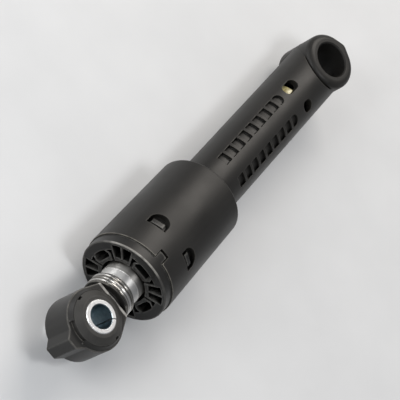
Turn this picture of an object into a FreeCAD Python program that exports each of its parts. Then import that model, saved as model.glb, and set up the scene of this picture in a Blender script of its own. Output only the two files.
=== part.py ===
import FreeCAD
import Part
import math
import os

# Free-stroke friction damper of a washing machine, lying with the bores of both eyes upright.
# X runs from the bore of the housing eye to the bore of the rod eye, and Z runs along both bores.
# The origin is the middle of the housing eye's bore. All sizes are in millimetres, rod pushed in.

# Layout along the damper
tube_length = 106.6  # housing eye to the shoulder of the sleeve
sleeve_length = 55.0  # shoulder to mouth
rod_showing = 12.6  # end cap to the outer end of the rod tube
rod_end_room = 9.2  # closed end of the guide tube to the inner end of the rod tube

# Housing eye
housing_eye_bore = 16.8
housing_eye_dia = 27.0
housing_eye_width = 24.8
housing_eye_round = 3.2
housing_eye_chamfer = 0.6
housing_eye_point = 1.3  # where the sides of the far end meet, beyond the round
housing_eye_blunt = 0.8  # radius of that point, more than the round of the rim
moat_width = 2.8  # trough between the eye and the end of the tube
moat_narrowing = 4.1  # its outline is that much less across the tube than along it
moat_depth = 4.6  # below the crown of the tube
tube_end_wall = 3.8  # trough to the closed end of the tube's bore

# Guide tube of the housing, with its ladder rows and inspection slots
tube_dia = 27.0
tube_wall = 2.9
pocket_count = 8
pocket_length = 4.5
pocket_width = 4.7
pocket_depth = 1.2
pocket_rib = 1.5  # between one pocket and the next
ladder_side = 5.9  # off the middle plane
ladder_start = 13.0  # shoulder to the first pocket
slot_start = 28.0  # eye to the near end of the slots
slot_width = 4.9
long_slot_length = 9.5  # in the row on the -Y side
short_slot_length = 6.5  # in the row on the +Y side

# Sleeve of the housing, with its snap windows and key notches
sleeve_mouth_dia = 41.2
sleeve_draft = 0.8  # on the radius, mouth to shoulder
sleeve_wall = 3.0  # at the mouth
shoulder_wall = 2.4
shoulder_round = 1.0
shoulder_fillet = 2.0
window_length = 7.0
window_width = 7.9
window_side = 9.5  # off the middle plane
window_setback = 12.0  # mouth to the straight side of the window
notch_width = 4.4
notch_depth = 4.8

# End cap
flange_setback = 0.6  # below the rim of the sleeve's mouth
flange_thickness = 4.9
flange_round = 0.4
plug_length = 20.0
cap_pocket_depth = 16.0
cap_skirt = 1.75  # wall outside the deep pockets
cap_hub = 2.7  # from the rod to the flat inner wall of the pockets
cap_rib = 0.8
twin_pocket_angle = 30.0  # angle that a pair of pockets spans
twin_shelf_depth = 3.6  # where the twin pockets run on into the flange
twin_shelf_rim = 1.6  # edge of the flange left outside that shelf
bay_inner_width = 7.0
bay_waist_width = 8.6
bay_outer_width = 6.6
bay_waist = 1.2  # from the inner wall to the widest place
dust_recess_width = 1.25  # round the rod
dust_recess_depth = 6.0
dust_channel_width = 1.2  # from the dust recess out to each corner pocket
cap_quarters = 4
snap_lug_side = 1.5  # room beside the lug in its window
snap_lug_setback = 1.2  # behind the straight side of the window
snap_lug_length = 4.4
snap_lug_sink = 0.75  # top of the lug below the mouth of the sleeve
snap_lug_nose = 0.3
key_end_gap = 0.8

# Friction unit in the sleeve
buffer_thickness = 4.0
buffer_width = 4.4
free_stroke = 3.0
lining_thickness = 2.6
lining_gap = 1.0
lining_wall = 2.0  # carrier wall between the two linings
carrier_end_wall = 2.2  # outside each lining
carrier_bore_gap = 0.35
carrier_waist = 1.6
carrier_rim = 3.0
carrier_slots = 6
carrier_slot_width = 4.0
carrier_slot_depth = 1.4

# Rod tube
rod_dia = 18.5
rod_wall = 1.0
rod_neck_step = 0.25
rod_neck_length = 4.6
collar_rise = 1.05  # beads above the rod
collar_length = 5.0
collar_beads = 3
bead_height = 0.4
collar_cone = 1.0
rod_end_bead = 1.0

# Guide ring on the inner end of the rod
guide_ring_width = 8.0
guide_ring_wall = 1.8
guide_ring_seat_depth = 0.61
guide_ring_gap = 1.2
guide_ring_chamfer = 0.4

# Rod eye
rod_eye_dia = 26.6
rod_eye_width = 16.2
rod_eye_wall = 2.0
rod_eye_round = 0.4
lip_height = 1.9  # raised rim round the bush, above the eye's face
lip_crest = 0.2  # wall of the lip at its top
lip_foot = 1.4  # wall of the lip at the eye's face
lip_gap_start = -34.5  # angle from +X to where the lip is left open
lip_gap_angle = 45.0
nose_length = 2.7  # beyond the round of the eye
nose_base = 10.0  # width of the nose where it leaves the round
nose_tip = 4.8  # width of its flat end
nose_offset = -0.2  # of the flat end, to the side
nose_round = 0.7
nose_fillet = 1.0
neck_reach = 14.3  # middle of the eye to the flat end of the neck
neck_width = 16.3
neck_round = 2.0  # edges of the flat end that run across the neck
stem_length = 0.6  # between the neck and the flange
stem_dia = 15.0
eye_flange_thickness = 1.0
eye_flange_setback = 0.1  # below the beads of the collar
spigot_length = 16.0
spigot_core_dia = 10.0
spigot_core_depth = 13.0

# Bush and steel sleeve of the rod eye
steel_sleeve_bore = 10.0
steel_sleeve_wall = 2.0
steel_sleeve_length = 24.9
steel_sleeve_slit = 0.4
steel_sleeve_slit_angle = 132.0
steel_sleeve_chamfer = 0.3
bush_hub_wall = 1.4  # round the steel sleeve
bush_hub_setback = 0.4  # below the end of the steel sleeve
bush_stand_proud = 0.1  # of the lip, at the rim
bush_groove_width = 0.8
bush_groove_depth = 1.4
bush_groove_arcs = ((89.0, 98.0), (269.0, 280.0))

# Clearances
running_gap = 0.08  # sliding faces, on the radius
lining_running_gap = 0.05
seat_gap = 0.05  # assembled faces that don't move
soft_gap = 0.3  # round the buffers
key_gap = 0.3  # beside the key lugs in their notches
lug_root = 1.0  # depth to which the lugs root in the plug
touch = 0.01  # two places this close are the same

# Places worked out from the sizes above
mouth_x = tube_length + sleeve_length
chamber_x = tube_length + shoulder_wall
plug_end_x = mouth_x - plug_length
cap_face_x = mouth_x + flange_thickness
moat_reach = housing_eye_dia / 2 + moat_width
tube_bore_end_x = moat_reach + tube_end_wall
tube_bore_radius = tube_dia / 2 - tube_wall
sleeve_bore = sleeve_mouth_dia - 2 * sleeve_wall
flange_radius = sleeve_mouth_dia / 2 - flange_setback
plug_radius = sleeve_bore / 2 - seat_gap
carrier_length = plug_end_x - chamber_x - 2 * (buffer_thickness + free_stroke)
carrier_x = chamber_x + buffer_thickness + free_stroke
lining_width = (carrier_length - lining_wall) / 2 - carrier_end_wall - 2 * seat_gap
rod_radius = rod_dia / 2
rod_neck_radius = rod_radius - rod_neck_step
bead_valley_radius = rod_radius + collar_rise - bead_height
rod_inner_end_x = tube_bore_end_x + rod_end_room
rod_outer_end_x = cap_face_x + rod_showing
collar_x = rod_outer_end_x - collar_length
ring_seat_x = rod_inner_end_x + rod_end_bead
ring_seat_radius = tube_bore_radius - guide_ring_wall - 2 * running_gap
ring_seat_length = guide_ring_width + 2 * seat_gap
flange_x = rod_outer_end_x + eye_flange_thickness
eye_spacing = flange_x + stem_length + neck_reach
rod_eye_seat_radius = rod_eye_dia / 2 - rod_eye_wall
steel_sleeve_dia = steel_sleeve_bore + 2 * steel_sleeve_wall
bush_radius = rod_eye_seat_radius - seat_gap
AXIS = FreeCAD.Vector(1, 0, 0)
UP = FreeCAD.Vector(0, 0, 1)
ORIGIN = FreeCAD.Vector(0, 0, 0)
ROD_EYE = FreeCAD.Vector(eye_spacing, 0, 0)


def turned(profile):
    """Solid of revolution about the damper's axis, from (x, radius) corners."""
    corners = [FreeCAD.Vector(x, 0, radius) for x, radius in profile]
    return Part.Face(Part.makePolygon(corners + corners[:1])).revolve(ORIGIN, AXIS, 360)


def turned_upright(profile, centre):
    """Solid of revolution about an upright axis through centre, from (radius, z) corners."""
    corners = [centre + FreeCAD.Vector(radius, 0, z) for radius, z in profile]
    return Part.Face(Part.makePolygon(corners + corners[:1])).revolve(centre, UP, 360)


def upright_cylinder(radius, height, centre=ORIGIN):
    """Cylinder along Z, centred on the middle plane."""
    return Part.makeCylinder(radius, height, centre - UP * (height / 2), UP)


def block(low, high):
    """Box between two corners."""
    return Part.makeBox(high[0] - low[0], high[1] - low[1], high[2] - low[2], FreeCAD.Vector(*low))


def upright_prism(wire, height):
    """Prism from a flat wire in the middle plane up to height."""
    return Part.Face(wire).extrude(UP * height)


def both_sides(tool):
    """The tool with its mirror images across both middle planes, one in each quarter."""
    across = tool.mirror(ORIGIN, FreeCAD.Vector(0, 1, 0))
    upper = [tool, across]
    return upper + [shape.mirror(ORIGIN, UP) for shape in upper]


def round_ended(straight_x, tip_x, side, width):
    """Flat wire with a straight end at straight_x and a half-round end that reaches tip_x."""
    radius = width / 2
    turn = math.copysign(1, tip_x - straight_x)
    centre_x = tip_x - turn * radius
    corners = [(centre_x, side - radius), (straight_x, side - radius),
               (straight_x, side + radius), (centre_x, side + radius)]
    points = [FreeCAD.Vector(x, y, 0) for x, y in corners]
    arc = Part.Arc(points[3], FreeCAD.Vector(tip_x, side, 0), points[0])
    return Part.Wire([Part.makeLine(points[k], points[k + 1]) for k in range(3)] + [arc.toShape()])


def tangent_points(radius, point):
    """The two places where the tangents from a flat point meet a round about the origin."""
    heading = math.atan2(point.y, point.x)
    spread = math.acos(radius / point.Length)
    return [FreeCAD.Vector(radius * math.cos(angle), radius * math.sin(angle), 0)
            for angle in (heading - spread, heading + spread)]


def upright_slab(corners, height, centre):
    """Prism through flat corners about centre, as far above the middle plane as below it."""
    points = [centre + corner - UP * (height / 2) for corner in corners]
    return Part.Face(Part.makePolygon(points + points[:1])).extrude(UP * height)


def ring_edges(shape, x, radius):
    """Round edges of a turned shape at one place along the axis."""
    found = []
    for edge in shape.Edges:
        box = edge.BoundBox
        if box.XLength < touch and abs(box.XMin - x) < touch and abs(box.ZMax - radius) < touch:
            found.append(edge)
    return found


def edges_where(shape, test):
    """Edges of the shape whose bounding box passes the test."""
    return [edge for edge in shape.Edges if test(edge.BoundBox)]


def make_housing():
    """Eye, guide tube and sleeve as one moulding, with its side features drawn along Z."""
    tube_radius = tube_dia / 2
    foot_radius = sleeve_mouth_dia / 2 - sleeve_draft
    body = turned([(0, 0), (0, tube_radius), (tube_length, tube_radius), (tube_length, foot_radius),
                   (mouth_x, sleeve_mouth_dia / 2), (mouth_x, 0)])
    body = body.makeFillet(shoulder_fillet, ring_edges(body, tube_length, tube_radius))
    body = body.makeFillet(shoulder_round, ring_edges(body, tube_length, foot_radius))
    moat_floor = tube_radius - moat_depth
    outline = Part.Ellipse(ORIGIN, moat_reach, moat_reach - moat_narrowing)
    trough = upright_prism(Part.Wire([outline.toShape()]), tube_radius)
    trough.translate(UP * moat_floor)
    body = body.cut([trough, trough.mirror(ORIGIN, UP)])
    body = body.fuse(housing_eye_boss())
    bore = upright_cylinder(housing_eye_bore / 2, housing_eye_width)
    flare_radius = housing_eye_bore / 2 + housing_eye_chamfer
    face_z = housing_eye_width / 2
    flare = turned_upright([(0, face_z - flare_radius), (flare_radius, face_z), (0, face_z)], ORIGIN)
    body = body.cut([bore, flare, flare.mirror(ORIGIN, UP)])
    tube_bore = Part.makeCylinder(tube_bore_radius, mouth_x - tube_bore_end_x,
                                  AXIS * tube_bore_end_x, AXIS)
    chamber = Part.makeCylinder(sleeve_bore / 2, mouth_x - chamber_x, AXIS * chamber_x, AXIS)
    body = body.cut([tube_bore, chamber])
    return body.cut(housing_openings()).removeSplitter()


def housing_eye_boss():
    """Round boss of the housing eye, drawn out to a blunt point at the far end, with a rounded rim."""
    radius = housing_eye_dia / 2
    tip = FreeCAD.Vector(-radius - housing_eye_point, 0, 0)
    low, high = tangent_points(radius, tip)
    point = upright_slab([ORIGIN, low, tip, high], housing_eye_width, ORIGIN)
    point = point.makeFillet(housing_eye_round + housing_eye_blunt, edges_where(
        point, lambda box: box.XMax < tip.x + touch))
    boss = upright_cylinder(radius, housing_eye_width).fuse(point).removeSplitter()
    return boss.makeFillet(housing_eye_round, edges_where(boss, lambda box: box.ZLength < touch))


def housing_openings():
    """Cutters for the ladder pockets, slots, windows and notches of the housing."""
    tube_radius = tube_dia / 2
    pitch = pocket_length + pocket_rib
    first_x = tube_length - ladder_start
    pockets = []
    for row in range(pocket_count):
        high_x = first_x - row * pitch
        pockets.append(block((high_x - pocket_length, ladder_side - pocket_width / 2, 0),
                             (high_x, ladder_side + pocket_width / 2, tube_radius)))
    last_x = first_x - pocket_count * pitch
    end_pocket = round_ended(last_x, last_x - pocket_length, ladder_side, pocket_width)
    pockets.append(upright_prism(end_pocket, tube_radius))
    core = Part.makeCylinder(tube_radius - pocket_depth, tube_length, ORIGIN, AXIS)
    cutters = [pocket.cut(core) for pocket in pockets]
    window_x = mouth_x - window_setback
    window = round_ended(window_x, window_x - window_length, window_side, window_width)
    cutters.append(upright_prism(window, sleeve_mouth_dia / 2))
    openings = [mirrored for cutter in cutters for mirrored in both_sides(cutter)]
    for side, length in ((-ladder_side, long_slot_length), (ladder_side, short_slot_length)):
        for tip_x in (slot_start, slot_start + length):
            half = upright_prism(round_ended(slot_start + length / 2, tip_x, side, slot_width), tube_radius)
            openings += [half, half.mirror(ORIGIN, UP)]
    openings.append(block((mouth_x - notch_depth, -notch_width / 2, -sleeve_mouth_dia / 2),
                          (mouth_x, notch_width / 2, sleeve_mouth_dia / 2)))
    return openings


def make_end_cap():
    """Flanged cap with a pocketed face, a bored hub, two key lugs and four snap lugs."""
    flange = Part.makeCylinder(flange_radius, flange_thickness, AXIS * mouth_x, AXIS)
    flange = flange.makeFillet(flange_round, ring_edges(flange, cap_face_x, flange_radius))
    plug = Part.makeCylinder(plug_radius, plug_length, AXIS * plug_end_x, AXIS)
    cap = flange.fuse([plug] + cap_lugs())
    guide = Part.makeCylinder(rod_radius + running_gap, cap_face_x - plug_end_x, AXIS * plug_end_x, AXIS)
    recess = Part.makeCylinder(rod_radius + dust_recess_width, dust_recess_depth,
                               AXIS * (cap_face_x - dust_recess_depth), AXIS)
    return cap.cut([guide, recess] + cap_pockets()).removeSplitter()


def cap_lugs():
    """Key lugs that fill the notches, and ramped snap lugs that catch in the windows."""
    root_radius = plug_radius - lug_root
    key_x = mouth_x - notch_depth + key_end_gap
    key_ring = turned([(key_x, root_radius), (mouth_x, root_radius), (mouth_x, flange_radius),
                       (key_x, flange_radius)])
    key_half = notch_width / 2 - key_gap
    keys = key_ring.common(block((key_x, -key_half, -flange_radius), (mouth_x, key_half, flange_radius)))
    catch_x = mouth_x - window_setback - snap_lug_setback
    lug_radius = sleeve_mouth_dia / 2 - snap_lug_sink
    snap_ring = turned([(catch_x, root_radius), (catch_x, lug_radius),
                        (catch_x - snap_lug_length / 2, lug_radius),
                        (catch_x - snap_lug_length, plug_radius + snap_lug_nose),
                        (catch_x - snap_lug_length, root_radius)])
    lug_half = window_width / 2 - snap_lug_side
    lugs = [snap_ring.common(side) for side in both_sides(
        block((plug_end_x, window_side - lug_half, 0), (mouth_x, window_side + lug_half, flange_radius)))]
    return [keys] + lugs


def cap_pockets():
    """Cutters for the face pockets: in each quarter a twin pocket, a bay and two corner pockets."""
    inner = rod_radius + cap_hub
    waist = inner + bay_waist
    deep_radius = plug_radius - cap_skirt
    shelf_radius = flange_radius - twin_shelf_rim
    half_turn = 180 / cap_quarters

    def pocket(outline, depth, radius):
        floor_x = cap_face_x - depth
        corners = [FreeCAD.Vector(floor_x, y, z) for y, z in outline]
        prism = Part.Face(Part.makePolygon(corners + corners[:1])).extrude(AXIS * depth)
        return prism.common(Part.makeCylinder(radius, depth, AXIS * floor_x, AXIS))

    def twin_side(z, away):
        """How far aside the wall of the next twin pocket lies at height z, less the room kept from it."""
        wall_angle = math.radians(half_turn - twin_pocket_angle / 2)
        return z * math.tan(wall_angle) - away / math.cos(wall_angle)

    spread = math.tan(math.radians(twin_pocket_angle / 2))
    twins = [pocket([(cap_rib / 2, inner), (inner * spread, inner), (radius * spread, radius),
                     (cap_rib / 2, radius)], depth, radius)
             for depth, radius in ((cap_pocket_depth, deep_radius), (twin_shelf_depth, shelf_radius))]
    twins += [shape.mirror(ORIGIN, FreeCAD.Vector(0, 1, 0)) for shape in twins]
    for shape in twins:
        shape.rotate(ORIGIN, AXIS, half_turn)
    bay_side = [(bay_inner_width / 2, inner), (bay_waist_width / 2, waist),
                (bay_outer_width / 2, deep_radius)]
    bay = pocket(bay_side + [(-y, z) for y, z in reversed(bay_side)], cap_pocket_depth, deep_radius)
    # A corner pocket lies between the bay and the twin pocket, and its channel runs into the dust recess.
    corner = pocket([(bay_outer_width / 2 + cap_rib, deep_radius), (bay_waist_width / 2 + cap_rib, waist),
                     (twin_side(waist, cap_rib), waist), (twin_side(deep_radius, cap_rib), deep_radius)],
                    cap_pocket_depth, deep_radius)
    channel_side = cap_rib + dust_channel_width
    channel = pocket([(twin_side(waist, channel_side), waist), (twin_side(waist, cap_rib), waist),
                      (twin_side(rod_radius, cap_rib), rod_radius),
                      (twin_side(rod_radius, channel_side), rod_radius)], dust_recess_depth, deep_radius)
    corners = [corner, channel]
    corners += [shape.mirror(ORIGIN, FreeCAD.Vector(0, 1, 0)) for shape in corners]
    quarter = twins + [bay] + corners
    pockets = []
    for turn in range(cap_quarters):
        for shape in quarter:
            copy = shape.copy()
            copy.rotate(ORIGIN, AXIS, turn * 360 / cap_quarters)
            pockets.append(copy)
    return pockets


def make_buffer(start_x):
    """Elastomer stop ring of square section."""
    outer = sleeve_bore / 2 - soft_gap
    return turned([(start_x, outer - buffer_width), (start_x, outer),
                   (start_x + buffer_thickness, outer), (start_x + buffer_thickness, outer - buffer_width)])


def lining_places():
    """Start of each lining along X, in the middle of the carrier."""
    middle_x = carrier_x + carrier_length / 2
    return [middle_x - lining_wall / 2 - lining_width - seat_gap, middle_x + lining_wall / 2 + seat_gap]


def make_carrier_halves():
    """Left and right half shells of the floating carrier, grooved inside for the linings."""
    outer = sleeve_bore / 2 - running_gap
    waist = outer - carrier_waist
    bore = rod_radius + carrier_bore_gap
    end_x = carrier_x + carrier_length
    ring = turned([(carrier_x, bore), (carrier_x, outer), (carrier_x + carrier_rim, outer),
                   (carrier_x + carrier_rim, waist), (end_x - carrier_rim, waist),
                   (end_x - carrier_rim, outer), (end_x, outer), (end_x, bore)])
    groove_radius = rod_radius + lining_thickness
    grooves = [Part.makeCylinder(groove_radius, lining_width + 2 * seat_gap,
                                 AXIS * (start - seat_gap), AXIS)
               for start in lining_places()]
    slots = []
    for turn in range(carrier_slots):
        slot = block((carrier_x, -carrier_slot_width / 2, outer - carrier_slot_depth),
                     (end_x, carrier_slot_width / 2, outer + carrier_slot_depth))
        slot.rotate(ORIGIN, AXIS, (turn + 0.5) * 360 / carrier_slots)
        slots.append(slot)
    ring = ring.cut(grooves + slots)
    left = ring.common(block((carrier_x, 0, -outer), (end_x, outer, outer)))
    right = ring.common(block((carrier_x, -outer, -outer), (end_x, 0, outer)))
    return left, right


def make_lining(start_x):
    """Friction strip bent to a ring, with a butt gap at the top."""
    inner = rod_radius + lining_running_gap
    outer = rod_radius + lining_thickness - seat_gap
    ring = turned([(start_x, inner), (start_x, outer), (start_x + lining_width, outer),
                   (start_x + lining_width, inner)])
    return ring.cut(block((start_x, -lining_gap / 2, 0), (start_x + lining_width, lining_gap / 2, outer)))


def make_rod_tube():
    """Steel tube with a seat for the guide ring, a swaged neck and a beaded collar."""
    step_x = collar_x - rod_neck_length
    cone_x = collar_x - collar_cone
    valley = bead_valley_radius
    end_bead_radius = ring_seat_radius + guide_ring_seat_depth
    seat_end_x = ring_seat_x + ring_seat_length
    outside = [(rod_inner_end_x, end_bead_radius), (ring_seat_x, end_bead_radius),
               (ring_seat_x, ring_seat_radius), (seat_end_x, ring_seat_radius), (seat_end_x, rod_radius),
               (step_x, rod_radius), (step_x, rod_neck_radius), (cone_x, rod_neck_radius), (collar_x, valley)]
    seat_inside_x = seat_end_x + rod_wall
    inside = [(rod_outer_end_x, valley - rod_wall), (collar_x, valley - rod_wall),
              (cone_x, rod_neck_radius - rod_wall), (step_x, rod_neck_radius - rod_wall),
              (step_x, rod_radius - rod_wall), (seat_inside_x, rod_radius - rod_wall),
              (seat_inside_x, ring_seat_radius - rod_wall), (rod_inner_end_x, ring_seat_radius - rod_wall)]
    tube = turned(outside + [(rod_outer_end_x, valley)] + inside)
    bead_pitch = collar_length / collar_beads
    bead_radius = bead_pitch / 2
    for bead in range(collar_beads):
        centre_x = collar_x + (bead + 0.5) * bead_pitch
        crown = [FreeCAD.Vector(centre_x - bead_radius, 0, valley),
                 FreeCAD.Vector(centre_x, 0, valley + bead_height),
                 FreeCAD.Vector(centre_x + bead_radius, 0, valley)]
        foot = [crown[2] - UP * (rod_wall / 2), crown[0] - UP * (rod_wall / 2)]
        outline = Part.Wire([Part.Arc(*crown).toShape(), Part.makeLine(crown[2], foot[0]),
                             Part.makeLine(foot[0], foot[1]), Part.makeLine(foot[1], crown[0])])
        tube = tube.fuse(Part.Face(outline).revolve(ORIGIN, AXIS, 360))
    return tube.removeSplitter()


def make_guide_ring():
    """Split plastic ring that runs in the tube's bore and turns in its seat on the rod."""
    inner = ring_seat_radius + running_gap
    outer = tube_bore_radius - running_gap
    start_x = ring_seat_x + seat_gap
    end_x = start_x + guide_ring_width
    edge = outer - guide_ring_chamfer
    ring = turned([(start_x, inner), (start_x, edge), (start_x + guide_ring_chamfer, outer),
                   (end_x - guide_ring_chamfer, outer), (end_x, edge), (end_x, inner)])
    return ring.cut(block((start_x, -guide_ring_gap / 2, -outer), (end_x, guide_ring_gap / 2, 0)))


def make_rod_eye():
    """Round eye with a nose, a flat neck, lips round the bush and a cored spigot in the rod tube."""
    radius = rod_eye_dia / 2
    barrel = upright_cylinder(radius, rod_eye_width, ROD_EYE)
    barrel = barrel.fuse([rod_eye_nose(radius), rod_eye_neck(radius)]).removeSplitter()
    nose_root_x = eye_spacing + math.sqrt(radius ** 2 - (nose_base / 2) ** 2)
    barrel = barrel.makeFillet(nose_fillet, edges_where(
        barrel, lambda box: box.ZLength > touch and max(abs(box.XMin - nose_root_x),
                                                        abs(box.XMax - nose_root_x)) < touch))
    neck_edge_x = eye_spacing - neck_reach + neck_round
    barrel = barrel.makeFillet(rod_eye_round, edges_where(
        barrel, lambda box: box.ZLength < touch and box.XMax > neck_edge_x + touch))
    stem = Part.makeCylinder(stem_dia / 2, neck_edge_x - flange_x, AXIS * flange_x, AXIS)
    flange = Part.makeCylinder(rod_radius + collar_rise - eye_flange_setback, eye_flange_thickness,
                               AXIS * rod_outer_end_x, AXIS)
    spigot_radius = rod_neck_radius - rod_wall - seat_gap
    shank_radius = bead_valley_radius - rod_wall - seat_gap
    spigot_x = rod_outer_end_x - spigot_length
    spigot = turned([(spigot_x, 0), (spigot_x, spigot_radius), (collar_x, spigot_radius),
                     (collar_x + collar_cone, shank_radius), (rod_outer_end_x, shank_radius),
                     (rod_outer_end_x, 0)])
    core = Part.makeCylinder(spigot_core_dia / 2, spigot_core_depth, AXIS * spigot_x, AXIS)
    bush_seat = upright_cylinder(rod_eye_seat_radius, rod_eye_width + 2 * lip_height, ROD_EYE)
    eye = barrel.fuse([stem, flange, spigot] + rod_eye_lips())
    return eye.cut([bush_seat, core]).removeSplitter()


def rod_eye_nose(radius):
    """Flat-ended nose that stands on the round of the eye, its two outer edges rounded."""
    tip_x = radius + nose_length
    root_x = math.sqrt(radius ** 2 - (nose_base / 2) ** 2)
    outline = [(0, 0), (root_x, -nose_base / 2), (tip_x, nose_offset - nose_tip / 2),
               (tip_x, nose_offset + nose_tip / 2), (root_x, nose_base / 2)]
    nose = upright_slab([FreeCAD.Vector(x, y, 0) for x, y in outline], rod_eye_width, ROD_EYE)
    return nose.makeFillet(nose_round, edges_where(
        nose, lambda box: box.ZLength > touch and box.XMin > eye_spacing + tip_x - touch))


def rod_eye_neck(radius):
    """Flat neck whose sides run into the round of the eye, rounded across its end towards the rod."""
    corner = FreeCAD.Vector(-neck_reach, neck_width / 2, 0)
    side = [corner, tangent_points(radius, corner)[0]]
    other_side = [FreeCAD.Vector(point.x, -point.y, 0) for point in reversed(side)]
    neck = upright_slab(other_side + side + [ORIGIN], rod_eye_width, ROD_EYE)
    return neck.makeFillet(neck_round, edges_where(
        neck, lambda box: box.ZLength < touch and box.XMax < eye_spacing - neck_reach + touch))


def rod_eye_lips():
    """Tapered lips that hold the bush on both faces, each left open over one sector."""
    face = ROD_EYE + UP * (rod_eye_width / 2)
    foot_radius = rod_eye_seat_radius + lip_foot
    lip = turned_upright([(0, 0), (foot_radius, 0), (rod_eye_seat_radius + lip_crest, lip_height),
                          (0, lip_height)], face)
    gap = Part.makeCylinder(foot_radius, lip_height, face, UP, lip_gap_angle)
    gap.rotate(ROD_EYE, UP, lip_gap_start)
    lip = lip.cut(gap)
    return [lip, lip.mirror(ORIGIN, UP)]


def make_eye_bush():
    """Elastomer bush with a conical hub on each side and arc grooves along its rim."""
    inner = steel_sleeve_dia / 2 + seat_gap
    rim_z = rod_eye_width / 2 + lip_height + bush_stand_proud
    hub_z = steel_sleeve_length / 2 - bush_hub_setback
    profile = [(bush_radius, rim_z), (steel_sleeve_dia / 2 + bush_hub_wall, hub_z), (inner, hub_z)]
    bush = turned_upright(profile + [(radius, -z) for radius, z in reversed(profile)], ROD_EYE)
    floor = ROD_EYE + UP * (rim_z - bush_groove_depth)
    grooves = []
    for start, end in bush_groove_arcs:
        groove = Part.makeCylinder(bush_radius, hub_z, floor, UP, end - start)
        groove = groove.cut(upright_cylinder(bush_radius - bush_groove_width, 2 * hub_z, ROD_EYE))
        groove.rotate(ROD_EYE, UP, start)
        grooves += [groove, groove.mirror(ORIGIN, UP)]
    return bush.cut(grooves)


def make_eye_sleeve():
    """Steel sleeve rolled from strip, with a narrow seam along its length."""
    bore = steel_sleeve_bore / 2
    outer = steel_sleeve_dia / 2
    half = steel_sleeve_length / 2
    chamfer = steel_sleeve_chamfer
    upper = [(outer, half - chamfer), (outer - chamfer, half), (bore + chamfer, half), (bore, half - chamfer)]
    sleeve = turned_upright(upper + [(radius, -z) for radius, z in reversed(upper)], ROD_EYE)
    slit = block((0, -steel_sleeve_slit / 2, -half), (outer, steel_sleeve_slit / 2, half))
    slit.rotate(ORIGIN, UP, steel_sleeve_slit_angle)
    slit.translate(ROD_EYE)
    return sleeve.cut(slit)


carrier_left, carrier_right = make_carrier_halves()
lining_inner, lining_outer = [make_lining(start) for start in lining_places()]
parts = {
    "housing": make_housing(),
    "end_cap": make_end_cap(),
    "rear_buffer": make_buffer(chamber_x),
    "front_buffer": make_buffer(plug_end_x - buffer_thickness),
    "carrier_left": carrier_left,
    "carrier_right": carrier_right,
    "lining_inner": lining_inner,
    "lining_outer": lining_outer,
    "guide_ring": make_guide_ring(),
    "rod_tube": make_rod_tube(),
    "rod_eye": make_rod_eye(),
    "eye_bush": make_eye_bush(),
    "eye_sleeve": make_eye_sleeve(),
}
os.makedirs("parts", exist_ok=True)
for name, shape in parts.items():
    shape.exportStep(f"parts/{name}.step")
    print(name, len(shape.Solids), shape.isValid(), round(shape.Volume, 1))
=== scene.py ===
import math

import bpy
import numpy as np
from mathutils import Matrix, Vector


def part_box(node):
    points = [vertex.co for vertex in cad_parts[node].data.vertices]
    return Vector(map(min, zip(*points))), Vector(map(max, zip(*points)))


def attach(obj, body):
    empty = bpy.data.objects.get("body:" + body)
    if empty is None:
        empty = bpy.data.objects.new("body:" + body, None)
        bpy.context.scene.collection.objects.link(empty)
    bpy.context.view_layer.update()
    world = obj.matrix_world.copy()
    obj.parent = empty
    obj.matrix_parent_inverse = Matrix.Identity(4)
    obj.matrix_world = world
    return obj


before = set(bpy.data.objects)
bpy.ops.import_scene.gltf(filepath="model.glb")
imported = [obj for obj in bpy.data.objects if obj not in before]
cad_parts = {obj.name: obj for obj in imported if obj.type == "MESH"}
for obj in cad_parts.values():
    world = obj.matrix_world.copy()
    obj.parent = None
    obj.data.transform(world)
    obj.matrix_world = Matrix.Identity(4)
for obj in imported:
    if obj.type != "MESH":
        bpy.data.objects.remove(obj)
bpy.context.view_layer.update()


# Housing
# One moulding of glass-filled black polyamide: the bored eye, the guide tube and the sleeve. Its tool opens
# along the bore of the eye, so pockets and windows are drawn that way and a fine seam runs round its side.

MM = 0.001
ALONG = (1, 0, 0)  # the damper's axis
ACROSS = (0, 1, 1)  # the two directions across it


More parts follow.
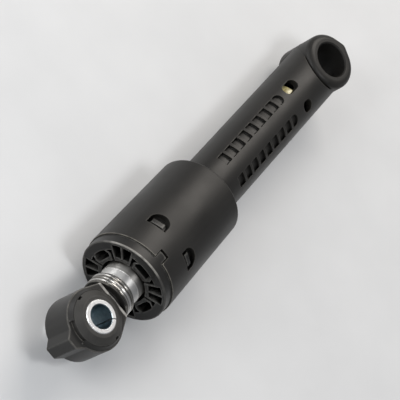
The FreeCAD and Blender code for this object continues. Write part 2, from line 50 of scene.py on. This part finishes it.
class Finish:
    """A material being wired up. Its patterns read the piece's own coordinates, and sizes are in metres."""

    CLOUD = (0.3, 0.7)  # where most of a cloudy value lies
    PATCH = (0.35, 0.6)  # where it is drawn apart into patches
    MIX_SOCKETS = {"VECTOR": (4, 5, 1), "RGBA": (6, 7, 2)}  # a Mix node's two inputs and its output

    def __init__(self, name):
        self.material = bpy.data.materials.new(name)
        self.material.use_nodes = True
        self.tree = self.material.node_tree
        self.shader = self.tree.nodes["Principled BSDF"]
        self.place = self.node("ShaderNodeTexCoord").outputs["Object"]

    def node(self, kind, inputs=None, **settings):
        """Adds a node. An input is a plain value, or another node's socket to be wired in."""
        made = self.tree.nodes.new(kind)
        for name, value in settings.items():
            setattr(made, name, value)
        for key, value in (inputs or {}).items():
            self.put(made.inputs[key], value)
        return made

    def put(self, socket, value):
        """Wires a socket in, or sets a plain value."""
        if isinstance(value, bpy.types.NodeSocket):
            self.tree.links.new(value, socket)
        else:
            socket.default_value = value

    def set(self, **values):
        """Plain values and patterns for the shader, by socket name with underscores for spaces."""
        for name, value in values.items():
            self.put(self.shader.inputs[name.replace("_", " ")], value)

    def noise(self, size, drawn=(1, 1, 1), detail=3.0):
        """Cloudy value round one half, with blots of this size, drawn out by factors along X, Y and Z."""
        scale = [1 / (size * factor) for factor in drawn]
        blots = self.node("ShaderNodeMapping", {"Vector": self.place, "Scale": scale}).outputs[0]
        return self.node("ShaderNodeTexNoise", {"Vector": blots, "Scale": 1.0, "Detail": detail}).outputs[0]

    def grade(self, value, low, high, start=0.0, end=1.0):
        """Value carried from the range low to high over to start to end, and held at both ends."""
        return self.node("ShaderNodeMapRange", {"Value": value, "From Min": low, "From Max": high,
                                                "To Min": start, "To Max": end}).outputs[0]

    def spread(self, cloud, start, end):
        """Cloudy value carried over to start to end."""
        return self.grade(cloud, *self.CLOUD, start, end)

    def patchy(self, cloud, least=0.45):
        """Cloudy value drawn apart into patches, from least up to one."""
        return self.grade(cloud, *self.PATCH, least, 1.0)

    def blend(self, first, second, share):
        """Two cloudy values laid together, with this share of the first and the rest of the second."""
        return self.sum(self.spread(first, 0, share), self.spread(second, 0, 1 - share))

    def risen(self, value, place, short, fade):
        """One from a little short of a place on, and before that up from nought over the length fade."""
        return self.grade(value, place - short - fade, place - short)

    def fallen(self, value, place, past, fade):
        """One until a little past a place, and after that down to nought over the length fade."""
        return self.grade(value, place + past + fade, place + past)

    def sum(self, first, second):
        """Two values added."""
        return self.node("ShaderNodeMath", {0: first, 1: second}, operation="ADD").outputs[0]

    def product(self, first, second):
        """Two values multiplied. Of two shares it keeps what both of them cover."""
        return self.node("ShaderNodeMath", {0: first, 1: second}, operation="MULTIPLY").outputs[0]

    def vector(self, operation, first, second=None, output="Vector"):
        """Two vectors joined by an operation, or one vector changed or measured by it."""
        inputs = {0: first} if second is None else {0: first, 1: second}
        return self.node("ShaderNodeVectorMath", inputs, operation=operation).outputs[output]

    def mixed(self, kind, share, under, over):
        """Two vectors or two colours blended by a share from 0 to 1."""
        first, second, output = self.MIX_SOCKETS[kind]
        mix = self.node("ShaderNodeMix", {0: share, first: under, second: over}, data_type=kind)
        return mix.outputs[output]

    def shades(self, value, dark, light, span=CLOUD):
        """Colour from dark to light along the span of a value."""
        ramp = self.node("ShaderNodeValToRGB", {"Fac": value})
        for element, place, colour in zip(ramp.color_ramp.elements, span, (dark, light)):
            element.position = place
            element.color = (*colour, 1)
        return ramp.outputs[0]

    def over(self, share, under, colour):
        """A colour, or a pattern of colours, laid over another one by a share from 0 to 1."""
        if isinstance(colour, tuple):
            colour = (*colour, 1)
        return self.mixed("RGBA", share, under, colour)

    def coloured(self, share, colour):
        """Lays a colour over the present one, by a share from 0 to 1."""
        present = self.shader.inputs["Base Color"].links[0].from_socket
        self.set(Base_Color=self.over(share, present, colour))

    def wear_and_highlight(self, share, colour, patch=2.4 * MM):
        """Lays a colour over the present one in patches of about this size, by a share from 0 to 1. It lays
        wear, and also painted highlights.
        """
        self.coloured(self.product(share, self.patchy(self.noise(patch))), colour)

    def axis(self, name):
        """Place along X, Y or Z."""
        return self.node("ShaderNodeSeparateXYZ", {"Vector": self.place}).outputs[name]

    def off_axis(self, centre=(0, 0, 0), across=ACROSS):
        """Distance from a line through centre, measured in the two directions across it."""
        offset = self.vector("SUBTRACT", self.place, centre)
        return self.vector("LENGTH", self.vector("MULTIPLY", offset, across), output="Value")

    def room(self, reach, inside=False):
        """Share of free room round a point within this reach, in the open or inside the wall."""
        return self.node("ShaderNodeAmbientOcclusion", {"Distance": reach}, samples=8,
                         inside=inside, only_local=True).outputs["AO"]

    def standing_edges(self, width, none=0.94, full=0.82):
        """One along edges that stand out, and nought on faces and in corners. It measures the room inside
        the wall within this width, which is less at an edge or a thin rib: at the share none it is nought,
        at full one."""
        return self.grade(self.room(width, inside=True), none, full)

    def painted_shade_depth(self, reach, none=0.55, full=0.25):
        """One deep in pockets and nought on open faces, by how much wall stands round a point within this
        reach. It marks where shade is painted into pockets."""
        return self.grade(self.room(reach), none, full)

    def rounded(self, radius):
        """Surface direction with every edge eased to this radius."""
        return self.node("ShaderNodeBevel", {"Radius": radius}, samples=6).outputs[0]

    def trued(self, direction, radius, upright=8, slanted=13):
        """Surface direction of a piece turned about the X axis, at this radius and beyond. Its part across
        that axis is set straight out from it where it leans aside by fewer degrees than upright, and left
        as it is from slanted on. A turned face then shades as one round, with no line where its skin
        closes."""
        unit = self.vector("NORMALIZE", self.vector("MULTIPLY", self.place, ACROSS))
        outward = self.node("ShaderNodeVectorTransform", {"Vector": unit}, vector_type="NORMAL",
                            convert_from="OBJECT", convert_to="WORLD").outputs[0]
        across = self.vector("LENGTH", self.vector("MULTIPLY", direction, ACROSS), output="Value")
        true = self.vector("ADD", self.vector("MULTIPLY", direction, ALONG),
                           self.vector("MULTIPLY", outward, across))
        likeness = self.vector("DOT_PRODUCT", direction, true, output="Value")
        low, high = [math.cos(math.radians(lean)) for lean in (slanted, upright)]
        at_radius = self.risen(self.off_axis(), radius, short=0.1 * MM, fade=0.1 * MM)
        share = self.product(self.grade(likeness, low, high), at_radius)
        return self.mixed("VECTOR", share, direction, true)

    def relief(self, height, depth, under=None):
        """Surface direction of a pattern that stands depth high, over another direction."""
        bump = self.node("ShaderNodeBump", {"Height": height, "Distance": depth, "Strength": 1.0})
        if under is not None:
            self.put(bump.inputs["Normal"], under)
        return bump.outputs[0]


def tones(shade, *factors):
    """The shade made darker or lighter by each factor."""
    return [tuple(part * factor for part in shade) for factor in factors]


def moulded_plastic(name, shade, easing, roughness, flow, grain, round_from=None):
    """Moulded plastic: cloudy shade, streaks along the flow and a fine spark grain, with eased edges. A
    piece that is round about the X axis from the radius round_from on has its round trued there."""
    finish = Finish(name)
    cloud = finish.noise(17 * MM, detail=4)
    streak = finish.noise(1.6 * MM, drawn=flow, detail=2)
    dark, light = tones(shade, 0.82, 1.2)
    direction = finish.rounded(easing)
    if round_from is not None:
        direction = finish.trued(direction, round_from)
    finish.set(Base_Color=finish.shades(finish.blend(cloud, streak, share=0.6), dark, light, span=(0, 1)))
    finish.set(Roughness=finish.spread(cloud, roughness - 0.05, roughness + 0.06))
    finish.set(Normal=finish.relief(finish.noise(grain, detail=2), 0.02 * grain, direction))
    finish.set(Specular_IOR_Level=0.32)
    return finish


def dress(finish, *names):
    """Puts a finish on CAD nodes, which keep their form."""
    for name in names:
        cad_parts[name].material_slots[0].material = finish.material


tube_radius = 13.5 * MM
sleeve_length = 55 * MM
sleeve_draft = 0.8 * MM  # on the radius, from mouth to shoulder
shoulder_round = 1.0 * MM
shoulder_fillet = 2.0 * MM
eye_point_radius = 4.0 * MM
housing_low, housing_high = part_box("housing")
mouth_x = housing_high.x
mouth_radius = housing_high.y

housing_shade = (0.0140, 0.0133, 0.0120)
housing_rubbed = (0.034, 0.032, 0.028)
mouth_rubbed_and_highlight = (0.17, 0.160, 0.140)
housing_painted_shade = (0.0010, 0.0010, 0.0010)

housing_black = moulded_plastic("glass_filled_black", housing_shade, easing=0.35 * MM, roughness=0.44,
                                flow=(14, 1, 1), grain=0.35 * MM, round_from=tube_radius)
housing_edges = housing_black.standing_edges(0.45 * MM)
# Wear, and a painted highlight: a light line is painted along the rim of the mouth.
at_mouth = housing_black.risen(housing_black.axis("X"), mouth_x, short=0.7 * MM, fade=0.5 * MM)
housing_black.wear_and_highlight(housing_edges, housing_rubbed)
housing_black.wear_and_highlight(housing_black.product(housing_edges, at_mouth), mouth_rubbed_and_highlight)
# Painted shade: the housing is painted near black deep in its pockets, windows and corners.
housing_black.coloured(housing_black.painted_shade_depth(2.2 * MM), housing_painted_shade)
dress(housing_black, "housing")


def arc(centre, radius, start, end, steps):
    """Points of a round: centre plus radius times (cosine, sine), from the angle start to the angle end."""
    angle = np.linspace(start, end, steps)
    return np.array(centre) + radius * np.stack([np.cos(angle), np.sin(angle)], axis=1)


def housing_outline(steps=48):
    """Half outline of the housing in its middle plane, as points and outward directions. It runs down the
    sleeve, round the shoulder's edge and its fillet, along the tube, and round the eye to its blunt point.
    The eye's round and the round of the point share a tangent, which leans by the arc cosine of (radius
    step / centre distance)."""
    quarter = math.pi / 2
    shoulder_x = mouth_x - sleeve_length
    foot_radius = mouth_radius - sleeve_draft
    edge_x = shoulder_x + shoulder_round
    root_x = shoulder_x - shoulder_fillet
    point_x = housing_low.x + eye_point_radius
    tangent = math.pi - math.acos((tube_radius - eye_point_radius) / -point_x)
    sleeve = np.linspace([mouth_x, mouth_radius], [edge_x, foot_radius], steps)
    shoulder = arc([edge_x, foot_radius - shoulder_round], shoulder_round, quarter, math.pi, steps)
    root = arc([root_x, tube_radius + shoulder_fillet], shoulder_fillet, 0, -quarter, steps)
    tube = np.linspace([root_x, tube_radius], [0, tube_radius], steps)
    eye = arc([0, 0], tube_radius, quarter, tangent, steps)
    point = arc([point_x, 0], eye_point_radius, tangent, math.pi, steps)
    points = np.concatenate([sleeve[:-1], shoulder, root, tube[1:], eye[1:], point])
    along = np.gradient(points, axis=0)
    along /= np.linalg.norm(along, axis=1, keepdims=True)
    return points, np.stack([along[:, 1], -along[:, 0]], axis=1)


def both_halves(half):
    """The half outline, and on from its end the mirrored half back to the mouth."""
    return np.concatenate([half, (half * [1, -1])[::-1][1:]])


def seam_profile(height=0.09 * MM, sunk=0.02 * MM, half_width=0.22 * MM, steps=9):
    """Section of the moulding seam: a low ridge whose height is a cosine across its width, its rims a
    little sunk."""
    across = np.linspace(-1, 1, steps)
    return np.stack([height * (np.cos(across * math.pi) + 1) / 2 - sunk, half_width * across], axis=1)


def carried(path, outward, profile):
    """Grid of points: each profile point, given as (along the outward direction, along Z), set at every
    path point."""
    out, up = profile.T
    flat = path[:, None, :] + out[None, :, None] * outward[:, None, :]
    height = np.broadcast_to(up, flat.shape[:2])
    return np.concatenate([flat, height[..., None]], axis=2)


def surface(name, points):
    """Smooth mesh through a grid of points, with one face between each four neighbours."""
    rows, columns = points.shape[:2]
    corner = np.arange((rows - 1) * columns).reshape(rows - 1, columns)[:, :-1].ravel()
    faces = np.stack([corner, corner + columns, corner + columns + 1, corner + 1], axis=1)
    mesh = bpy.data.meshes.new(name)
    mesh.from_pydata(points.reshape(-1, 3).tolist(), [], faces.tolist())
    mesh.shade_smooth()
    piece = bpy.data.objects.new(name, mesh)
    bpy.context.scene.collection.objects.link(piece)
    return piece


outline, outward = [both_halves(half) for half in housing_outline()]
housing_seam = surface("housing_seam", carried(outline, outward, seam_profile()))
housing_seam.data.materials.append(housing_black.material)
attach(housing_seam, "housing")


# Stop buffers
# Two rings of black cellular elastomer, one at each end of the chamber in the sleeve. They lie loose there
# and take the knock when the friction unit reaches the end of its free stroke.

buffer_dark = (0.020, 0.020, 0.020)
buffer_light = (0.042, 0.041, 0.039)


def pores(finish, size):
    """Distance from the middle of the nearest pore, with pores about this size across."""
    cells = finish.node("ShaderNodeTexVoronoi", {"Vector": finish.place, "Scale": 1 / size})
    return cells.outputs["Distance"]


def cellular_rubber(name):
    """Foamed elastomer: cloudy dull black, pitted by open pores."""
    finish = Finish(name)
    cloud = finish.noise(5 * MM)
    finish.set(Base_Color=finish.shades(cloud, buffer_dark, buffer_light))
    finish.set(Roughness=finish.spread(cloud, 0.7, 0.85))
    finish.set(Normal=finish.relief(pores(finish, 0.9 * MM), 0.15 * MM))
    return finish


dress(cellular_rubber("cellular_elastomer"), "rear_buffer", "front_buffer")


# Friction unit
# A carrier of two dark grey plastic half shells floats in the sleeve and holds two strips of greased
# polyurethane foam, bent to rings that grip the rod.

carrier_shade = (0.060, 0.060, 0.062)
foam_deep = (0.16, 0.11, 0.05)
foam_high = (0.46, 0.36, 0.18)
foam_soaked = (0.26, 0.17, 0.06)

carrier_grey = moulded_plastic("carrier_grey", carrier_shade, easing=0.3 * MM, roughness=0.45,
                               flow=(1, 1, 8), grain=0.3 * MM)
dress(carrier_grey, "carrier_left", "carrier_right")


def greased_foam(name):
    """Amber foam soaked with grease: small open pores, with wet patches where a cloudy pattern is high."""
    finish = Finish(name)
    depth = pores(finish, 0.45 * MM)
    wet = finish.grade(finish.noise(3 * MM), 0.45, 0.6)
    dry = finish.shades(depth, foam_deep, foam_high, span=(0.1, 0.6))
    finish.set(Base_Color=finish.over(wet, dry, foam_soaked))
    finish.set(Roughness=finish.grade(wet, 0, 1, 0.8, 0.25))
    finish.set(Normal=finish.relief(depth, 0.12 * MM))
    return finish


dress(greased_foam("greased_foam"), "lining_inner", "lining_outer")


# End cap
# Black moulded cap that snaps into the sleeve: four lugs catch in the windows and two keys fill the notches.
# Thin ribs part the pockets of its face, which keep the moulding from sinking.

cap_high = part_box("end_cap")[1]
flange_radius = cap_high.z
rim_width = 0.4 * MM
rim_fade = 0.3 * MM
highlight_z = (6 * MM, 12 * MM)  # the painted highlight on the rim rises from here, fading in between the two
highlight_y = (6.5 * MM, 1 * MM)  # and only on the -Y side of here

cap_shade = (0.0135, 0.0131, 0.0124)
rib_rubbed = (0.090, 0.088, 0.082)
rim_rubbed = (0.060, 0.058, 0.054)
rim_painted_highlight = (0.32, 0.31, 0.285)
cap_painted_shade = (0.0008, 0.0008, 0.0008)

cap_black = moulded_plastic("cap_black", cap_shade, easing=0.4 * MM, roughness=0.38,
                            flow=(6, 1, 1), grain=0.3 * MM, round_from=flange_radius)
cap_rim = cap_black.product(cap_black.risen(cap_black.off_axis(), flange_radius, rim_width, rim_fade),
                            cap_black.risen(cap_black.axis("X"), cap_high.x, rim_width, rim_fade))
rim_highlight_side = cap_black.product(cap_black.grade(cap_black.axis("Z"), *highlight_z),
                            cap_black.grade(cap_black.axis("Y"), *highlight_y))
cap_black.wear_and_highlight(cap_black.standing_edges(1.2 * MM, none=0.80, full=0.62), rib_rubbed)
cap_black.wear_and_highlight(cap_rim, rim_rubbed)
# Painted highlight: the flange rim is painted pale on its upper -Y part, where the lamps catch it.
cap_black.wear_and_highlight(cap_black.product(cap_rim, rim_highlight_side), rim_painted_highlight)
# Painted shade: the deep pockets of the cap's face are painted near black.
cap_black.coloured(cap_black.painted_shade_depth(6 * MM), cap_painted_shade)
dress(cap_black, "end_cap")


# Rod tube
# Bright drawn steel tube. Its outer end is swaged down to a neck and then rolled up to a beaded collar that
# holds the rod eye, and rolling leaves the collar duller than the ground rod.

collar_length = 6.0 * MM  # with the cone that leads up to its beads
neck_length = 3.6 * MM
neck_radius = 9.0 * MM
swage_fade = 0.3 * MM  # to each side of where the neck and the collar begin
collar_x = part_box("rod_tube")[1].x - collar_length
neck_x = collar_x - neck_length
clean_length = 1.2 * MM  # between the grease, which also paints shade, and the neck
grease_x = neck_x - clean_length
grease_edge = 2.2 * MM  # length over which the grease and its painted shade thicken from their outer edge
grease_thins = (3 * MM, 14 * MM)  # distances from that edge between which it thins out again
grease_left = 0.12  # share of it that is left beyond them
grease_cover = (0.55, 0.95)  # share of the steel that it hides, from its thin patches to its thick ones
rod_roughness = (0.43, 0.50)
grinding_roughness = 0.06  # added by the grinding lines
collar_roughness = -0.19  # added on the collar, which rolling smooths

rod_bright = (0.52, 0.51, 0.49)
neck_burnished_highlight = (0.98, 0.97, 0.95)
collar_dull = (0.16, 0.150, 0.134)
rod_grease_and_shade = (0.046, 0.042, 0.032)


def grease_and_shade_ring(finish):
    """Share of grease along the rod, which also paints the shade that the cap casts: it thickens inwards
    from its outer edge, and then thins out.
    """
    along = finish.axis("X")
    full_x, thin_x = [grease_x - distance for distance in grease_thins]
    return finish.product(finish.grade(along, grease_x, grease_x - grease_edge),
                          finish.grade(along, thin_x, full_x, grease_left, 1.0))


def ground_steel(name):
    """Bright steel: grinding lines round the rod and draw lines along it, under a dark ring of grease that
    also paints the shade by the cap. The neck is burnished and painted near white, which also paints its
    highlight, and the collar is smoother and dull in patches. Tangents run round the rod."""
    finish = Finish(name)
    grinding = finish.noise(0.16 * MM, drawn=(1, 90, 90), detail=2)
    drawing = finish.noise(0.35 * MM, drawn=(160, 1, 1), detail=2)
    rolling = finish.noise(0.55 * MM, drawn=(1, 60, 60), detail=1)
    film = finish.noise(6 * MM, drawn=(2, 1, 1), detail=4)
    at_neck, at_collar = [finish.grade(finish.axis("X"), start - swage_fade, start + swage_fade)
                          for start in (neck_x, collar_x)]
    dark, light = tones(rod_bright, 0.84, 1.0)
    ground = finish.shades(finish.blend(film, drawing, share=0.7), dark, light, span=(0, 1))
    # Painted highlight, over the burnish: the neck is painted near white.
    necked_highlight = finish.over(at_neck, ground, neck_burnished_highlight)
    rolled = finish.over(finish.product(at_collar, finish.patchy(rolling)), necked_highlight, collar_dull)
    # Grease, and painted shade: near the cap the rod is painted dark where the cap shades it.
    grease = finish.product(grease_and_shade_ring(finish), finish.grade(film, 0.35, 0.65, *grease_cover))
    finish.set(Base_Color=finish.over(grease, rolled, rod_grease_and_shade), Metallic=1.0)
    rough = finish.sum(finish.spread(film, *rod_roughness), finish.spread(grinding, 0, grinding_roughness))
    finish.set(Roughness=finish.sum(rough, finish.product(at_collar, collar_roughness)))
    lines = finish.sum(grinding, finish.product(drawing, 0.6))
    direction = finish.trued(finish.rounded(0.25 * MM), neck_radius)
    finish.set(Normal=finish.relief(lines, 0.003 * MM, direction))
    finish.set(Tangent=finish.vector("CROSS_PRODUCT", direction, ALONG))
    finish.set(Anisotropic=0.8, Anisotropic_Rotation=0.25)
    return finish


dress(ground_steel("ground_steel"), "rod_tube")


# Guide ring
# Split ring of natural cream polyacetal on the inner end of the rod, coated with grease. It runs in the bore
# of the guide tube and shows through the slots.

ring_dark = (0.52, 0.46, 0.20)
ring_light = (0.66, 0.61, 0.34)
ring_grease = (0.27, 0.22, 0.070)
ring_depth = (1.2 * MM, 1.0 * MM, 0.6 * MM)  # to which red, green and blue light enters


def greased_cream(name):
    """Cream plastic under a wet film of grease that gathers in brownish smears."""
    finish = Finish(name)
    smear = finish.grade(finish.noise(2.6 * MM, drawn=(2, 1, 1), detail=4), 0.38, 0.60)
    clean = finish.shades(finish.noise(7 * MM), ring_dark, ring_light)
    finish.set(Base_Color=finish.over(smear, clean, ring_grease))
    finish.set(Roughness=0.4, Coat_Weight=0.8, Coat_Roughness=0.08)
    finish.set(Subsurface_Weight=0.15, Subsurface_Radius=ring_depth, Subsurface_Scale=1.0)
    finish.set(Normal=finish.relief(smear, 0.06 * MM, finish.rounded(0.2 * MM)))
    return finish


dress(greased_cream("greased_cream"), "guide_ring")


# Rod eye
# Black moulded eye whose spigot is locked in the beaded collar of the rod. Its round flange covers the end
# of the collar, and the nose stops the eye from turning too far in its bracket.

lip_height = 1.9 * MM
flat_reach = 12.3 * MM  # from the middle of the eye to where its face rounds over towards the rod
sleeve_low, sleeve_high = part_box("eye_sleeve")
eye_centre = (sleeve_low + sleeve_high) / 2
face_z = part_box("rod_eye")[1].z - lip_height
face_end_x = eye_centre.x - flat_reach

eye_shade = (0.0185, 0.0180, 0.0168)
eye_rubbed_and_highlight = (0.16, 0.154, 0.140)
eye_painted_highlight = (0.42, 0.41, 0.39)

eye_black = moulded_plastic("eye_black", eye_shade, easing=0.5 * MM, roughness=0.42,
                            flow=(1, 1, 9), grain=0.35 * MM)
eye_x = eye_black.axis("X")
eye_height = eye_black.node("ShaderNodeMath", {0: eye_black.axis("Z")}, operation="ABSOLUTE").outputs[0]
below_lips = eye_black.fallen(eye_height, face_z, past=0.1 * MM, fade=0.3 * MM)
at_face = eye_black.risen(eye_height, face_z, short=0.8 * MM, fade=0.8 * MM)
at_face_end = eye_black.product(eye_black.risen(eye_x, face_end_x, short=1.0 * MM, fade=0.4 * MM),
                                eye_black.fallen(eye_x, face_end_x, past=0, fade=0.3 * MM))
# Wear, and a painted highlight: the edges below the lips are painted lighter.
eye_black.wear_and_highlight(eye_black.product(eye_black.standing_edges(0.6 * MM), below_lips), eye_rubbed_and_highlight)
# Painted highlight: a pale line is painted where the flat face rounds over towards the rod.
eye_black.wear_and_highlight(eye_black.product(at_face_end, at_face), eye_painted_highlight)
dress(eye_black, "rod_eye")


# Bush of the rod eye
# Black elastomer ring bonded round the steel sleeve and pushed into the eye. Its faces rise as cones to the
# sleeve, and arc grooves along the rim let it give.

bush_dark = (0.030, 0.0293, 0.0275)
bush_light = (0.042, 0.0408, 0.0382)
bush_bloom = (0.07, 0.068, 0.063)


def from_bore(finish):
    """Distance from the upright axis of the rod eye's bore."""
    return finish.off_axis(eye_centre, across=(1, 1, 0))


def rings(finish, width, detail):
    """Cloudy value that changes only with the distance from the bore, in rings about this wide."""
    return finish.node("ShaderNodeTexNoise", {"W": from_bore(finish), "Scale": 1 / width, "Detail": detail},
                       noise_dimensions="1D").outputs[0]


def bush_elastomer(name):
    """Satin rubber with a pale bloom on its edges and faint rings round the bore from its mould."""
    finish = Finish(name)
    cloud = finish.noise(4.5 * MM, detail=4)
    finish.set(Base_Color=finish.shades(cloud, bush_dark, bush_light), Specular_IOR_Level=0.35)
    finish.wear_and_highlight(finish.standing_edges(0.5 * MM), bush_bloom)
    finish.set(Roughness=finish.spread(cloud, 0.46, 0.58))
    mould_rings = finish.product(rings(finish, 0.35 * MM, detail=1.0), 0.35)
    bumps = finish.sum(mould_rings, finish.noise(0.4 * MM, detail=2))
    finish.set(Normal=finish.relief(bumps, 0.008 * MM, finish.rounded(0.3 * MM)))
    return finish


dress(bush_elastomer("bush_elastomer"), "eye_bush")


# Steel sleeve of the rod eye
# Bright strip rolled to a tube that meets in a narrow seam, with faced ends. The bolt of the machine's
# bracket clamps on its ends.

bore_radius = 5.0 * MM
faced_dark = (0.84, 0.84, 0.84)
faced_light = (0.97, 0.97, 0.965)
bore_skin_and_shade_dark = (0.24, 0.31, 0.345)
bore_skin_and_shade_light = (0.33, 0.41, 0.45)


def faced_steel(name):
    """Bright steel with facing lines, which are rings round the bore, and a few darker handling marks. The
    bore is painted a dark teal: partly the oiled skin of the strip, partly painted shade and a painted
    reflection."""
    finish = Finish(name)
    facing = rings(finish, 0.12 * MM, detail=2.0)
    marks = finish.noise(1.8 * MM, detail=4)
    faced = finish.shades(marks, faced_dark, faced_light, span=(0.3, 0.55))
    skin = finish.shades(marks, bore_skin_and_shade_dark, bore_skin_and_shade_light, span=(0.3, 0.6))
    in_bore = finish.fallen(from_bore(finish), bore_radius, past=0.1 * MM, fade=0.2 * MM)
    # Painted shade and a painted reflection, over the strip's skin: the bore is dark teal.
    finish.set(Base_Color=finish.over(in_bore, faced, skin), Metallic=1.0)
    finish.set(Roughness=finish.spread(facing, 0.30, 0.42))
    finish.set(Normal=finish.relief(facing, 0.004 * MM, finish.rounded(0.2 * MM)))
    return finish


dress(faced_steel("faced_steel"), "eye_sleeve")


# Floor
# Plain pale paper. The damper lies on its sleeve, so the paper lies along the sleeve's lowest line, which
# rises towards the shoulder by the moulding's draft.

floor_reach = 4.0
floor_gap = 0.1 * MM
paper_dark = (0.70, 0.71, 0.72)
paper_light = (0.74, 0.75, 0.76)


def paper_grid(steps=61):
    """Flat square grid of points under the part: along X its height follows the sleeve's lowest line."""
    side = np.linspace(-floor_reach, floor_reach, steps)
    x, y = np.meshgrid(side, side, indexing="ij")
    z = -housing_high.z - floor_gap - sleeve_draft / sleeve_length * (x - mouth_x)
    return np.stack([x, y, z], axis=-1)


paper = Finish("pale_paper")
paper.set(Base_Color=paper.shades(paper.noise(40 * MM), paper_dark, paper_light))
paper.set(Roughness=0.8, Specular_IOR_Level=0.2)
floor = surface("floor", paper_grid())
floor.data.materials.append(paper.material)


# Light
# A long warm softbox stands high beyond the housing eye and draws the bright band along tube and sleeve.
# Smaller ones light the cap from beside the camera, the -Y flank from low down and the rod eye from above.
# An even pale surround fills the rest.

WARM = (1.0, 0.94, 0.87)
WHITE = (1.0, 1.0, 1.0)


def softbox(name, place, target, width, height, watts, tint=WHITE):
    """Rectangular lamp at place that faces target."""
    lamp = bpy.data.lights.new(name, "AREA")
    lamp.shape = "RECTANGLE"
    lamp.size = width
    lamp.size_y = height
    lamp.energy = watts
    lamp.color = tint
    holder = bpy.data.objects.new(name, lamp)
    holder.location = place
    holder.rotation_euler = (Vector(target) - Vector(place)).to_track_quat("-Z", "Y").to_euler()
    bpy.context.scene.collection.objects.link(holder)


softbox("back_softbox", (-0.46, -0.24, 0.58), (0.12, 0, 0), width=0.62, height=0.34, watts=4.2, tint=WARM)
softbox("front_softbox", (0.66, -0.46, 0.42), (0.16, 0, 0), width=0.30, height=0.30, watts=2.0)
softbox("side_softbox", (0.22, -0.62, 0.12), (0.17, 0, 0), width=0.26, height=0.24, watts=0.9)
softbox("top_softbox", (0.22, 0.13, 0.62), (0.17, 0, 0), width=0.16, height=0.14, watts=1.0)

world = bpy.data.worlds.new("surround")
world.use_nodes = True
surround = world.node_tree.nodes["Background"]
surround.inputs["Color"].default_value = (0.94, 0.96, 1.0, 1)
surround.inputs["Strength"].default_value = 0.31
bpy.context.scene.world = world


# Camera
# It looks down on the part from beyond the rod eye with a long lens, rolled so that the part runs away to
# the upper right. Place, target and roll were fitted to the part's outlines.

camera_place = Vector((0.5784, -0.1320, 0.5373))
camera_target = Vector((0.10676, 0.00108, 0.0))
camera_roll = math.radians(62.911)
camera_data = bpy.data.cameras.new("camera")
camera_data.lens = 153
camera_data.sensor_width = 36
camera = bpy.data.objects.new("camera", camera_data)
camera_level = (camera_target - camera_place).to_track_quat("-Z", "Y").to_matrix().to_4x4()
camera.matrix_world = Matrix.Translation(camera_place) @ camera_level @ Matrix.Rotation(camera_roll, 4, "Z")
bpy.context.scene.collection.objects.link(camera)
bpy.context.scene.camera = camera
bpy.context.scene.view_settings.view_transform = "Standard"
